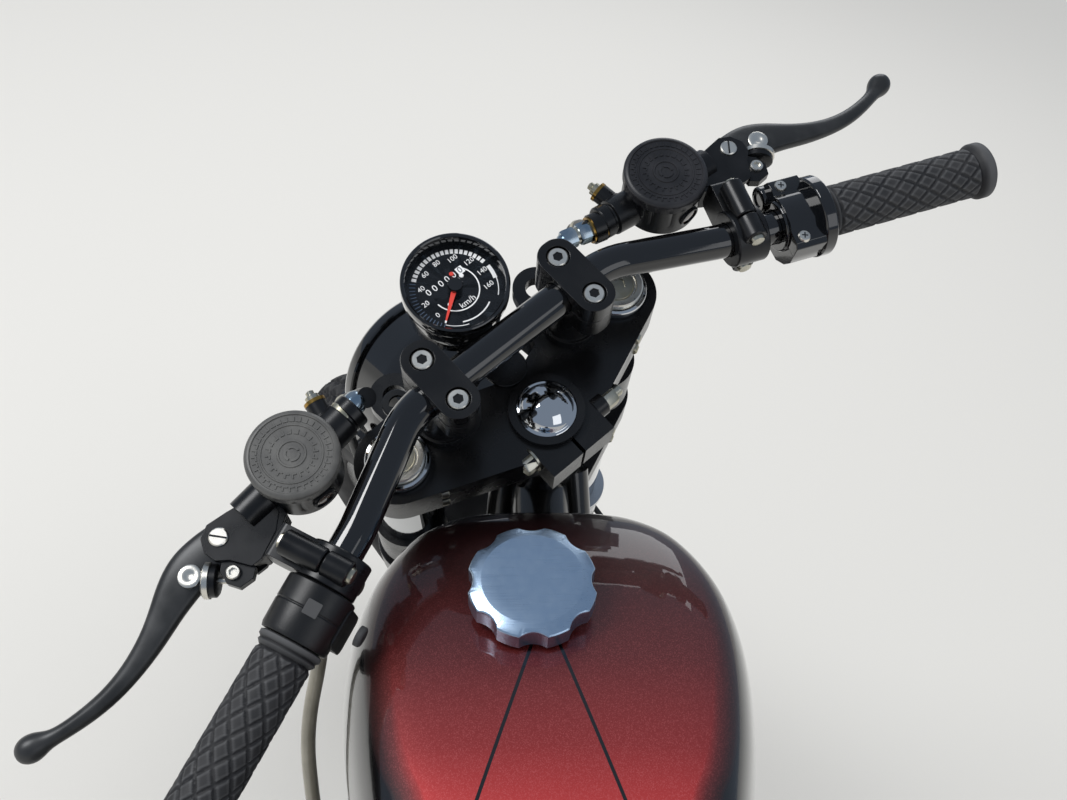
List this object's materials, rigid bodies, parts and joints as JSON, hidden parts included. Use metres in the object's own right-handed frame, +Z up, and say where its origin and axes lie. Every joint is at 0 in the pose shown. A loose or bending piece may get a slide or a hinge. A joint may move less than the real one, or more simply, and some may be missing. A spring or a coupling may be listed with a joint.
{
  "type": "cafe racer motorcycle",
  "caption": "Cafe racer motorcycle on its side stand: tubular cradle frame, parallel-twin engine, spoked wheels, sculpted tank, low bars with brake and clutch masters.",
  "frame": {"origin": "on the ground under the middle of the whole machine's box, as it leans on its side stand", "axes": "+X forwards along the rear wheel's track, +Y to the machine's left, +Z up"},
  "size_m": [1.9924, 0.617, 1.0712],
  "materials": {
    "frame_enamel": "gloss black stove enamel",
    "stand_enamel": "worn black enamel",
    "zinc_steel": "zinc-plated steel",
    "shock_black": "black enamel spring",
    "tank_paint": "dark candy red over gloss black",
    "tail_paint": "gloss black",
    "guard_paint": "gloss black",
    "seat_leather": "dark stitched leather",
    "cast_aluminium": "blasted cast aluminium",
    "polished_aluminium": "polished aluminium",
    "engine_black": "satin black heat paint",
    "filter_gauze": "wire gauze",
    "exhaust_steel": "chromed steel",
    "chain_steel": "oiled steel",
    "black_anodised": "black anodised",
    "red_lens": "moulded red lens",
    "plate_blank": "blank plate",
    "cap_aluminium": "brushed, clear anodised",
    "clamp_black": "gloss black powder coat",
    "chrome": "chromium plate",
    "bar_black": "gloss black",
    "grip_rubber": "moulded diamond rubber",
    "satin_black": "satin black anodised",
    "cap_black": "moulded black",
    "switch_plastic": "grained black plastic",
    "gloss_black": "gloss black",
    "dial_black": "gloss black bezel",
    "headlamp_glass": "fluted glass in a chromed rim",
    "slider_aluminium": "polished aluminium",
    "tyre_rubber": "road tyre",
    "rim_black": "black anodised rim",
    "hub_aluminium": "cast hub with steel spokes",
    "disc_steel": "ground steel",
    "cable_rubber": "black sheath"
  },
  "bodies": {
    "chassis": {"frame_backbone": "frame_enamel", "frame_cradle_left": "frame_enamel", "frame_cradle_right": "frame_enamel", "seat_rails": "frame_enamel", "swingarm": "frame_enamel", "rear_axle": "zinc_steel", "rear_shocks": "shock_black", "fuel_tank": "tank_paint", "seat": "seat_leather", "tail_cowl": "tail_paint", "crankcase": "cast_aluminium", "engine_covers": "polished_aluminium", "cylinder_block": "engine_black", "cylinder_head": "engine_black", "carburettors": "cast_aluminium", "air_filters": "filter_gauze", "exhaust_left": "exhaust_steel", "exhaust_right": "exhaust_steel", "drive_chain": "chain_steel", "front_sprocket": "chain_steel", "rearsets": "black_anodised", "battery_box": "frame_enamel", "tail_light": "red_lens", "plate_bracket": "plate_blank", "control_cable": "cable_rubber"},
    "steering": {"top_clamp": "clamp_black", "lower_clamp": "clamp_black", "stem_nut": "chrome", "front_axle": "zinc_steel", "brake_caliper": "black_anodised", "handlebar": "bar_black", "grips": "grip_rubber", "bar_risers": "satin_black", "bar_caps": "satin_black", "master_cylinders": "satin_black", "reservoir_caps": "cap_black", "levers": "satin_black", "switch_housing": "switch_plastic", "throttle_housing": "gloss_black", "speedometer": "dial_black", "dial_bracket": "satin_black", "headlight_shell": "gloss_black", "headlight_lens": "headlamp_glass", "headlight_brackets": "satin_black", "front_mudguard": "guard_paint", "fork_tubes": "chrome", "fork_sliders": "slider_aluminium", "brake_hose": "cable_rubber", "clutch_hose": "cable_rubber"},
    "front_wheel": {"front_tyre": "tyre_rubber", "front_rim": "rim_black", "front_hub": "hub_aluminium", "front_brake_disc": "disc_steel"},
    "rear_wheel": {"rear_tyre": "tyre_rubber", "rear_rim": "rim_black", "rear_hub": "hub_aluminium", "rear_sprocket": "chain_steel"},
    "side_stand": {"side_stand": "stand_enamel"},
    "fuel_cap": {"fuel_cap": "cap_aluminium"}
  },
  "joints": [
    {"name": "steering", "type": "hinge", "parent": "chassis", "child": "steering", "pos_m": [0.42063, 0.01612, 0.81606], "axis": [-0.4473, 0.1553, 0.8808], "range_deg": [-82, 0], "deforming": ["control_cable"]},
    {"name": "front_wheel_spin", "type": "hinge", "parent": "steering", "child": "front_wheel", "pos_m": [0.72075, -0.04113, 0.30247], "axis": [-0.5868, 0.6923, -0.4201], "continuous": true},
    {"name": "rear_wheel_spin", "type": "hinge", "parent": "chassis", "child": "rear_wheel", "pos_m": [-0.66824, -0.07067, 0.3239], "axis": [0, 0.9848, -0.1736], "continuous": true},
    {"name": "side_stand", "type": "hinge", "parent": "chassis", "child": "side_stand", "pos_m": [-0.07949, 0.02417, 0.13616], "axis": [0.2338, 0.8298, 0.5067], "range_deg": [0, 92]},
    {"name": "fuel_cap", "type": "slide", "parent": "chassis", "child": "fuel_cap", "axis": [-0.1387, 0.172, 0.9753], "range_m": [0, 0.04]}
  ]
}
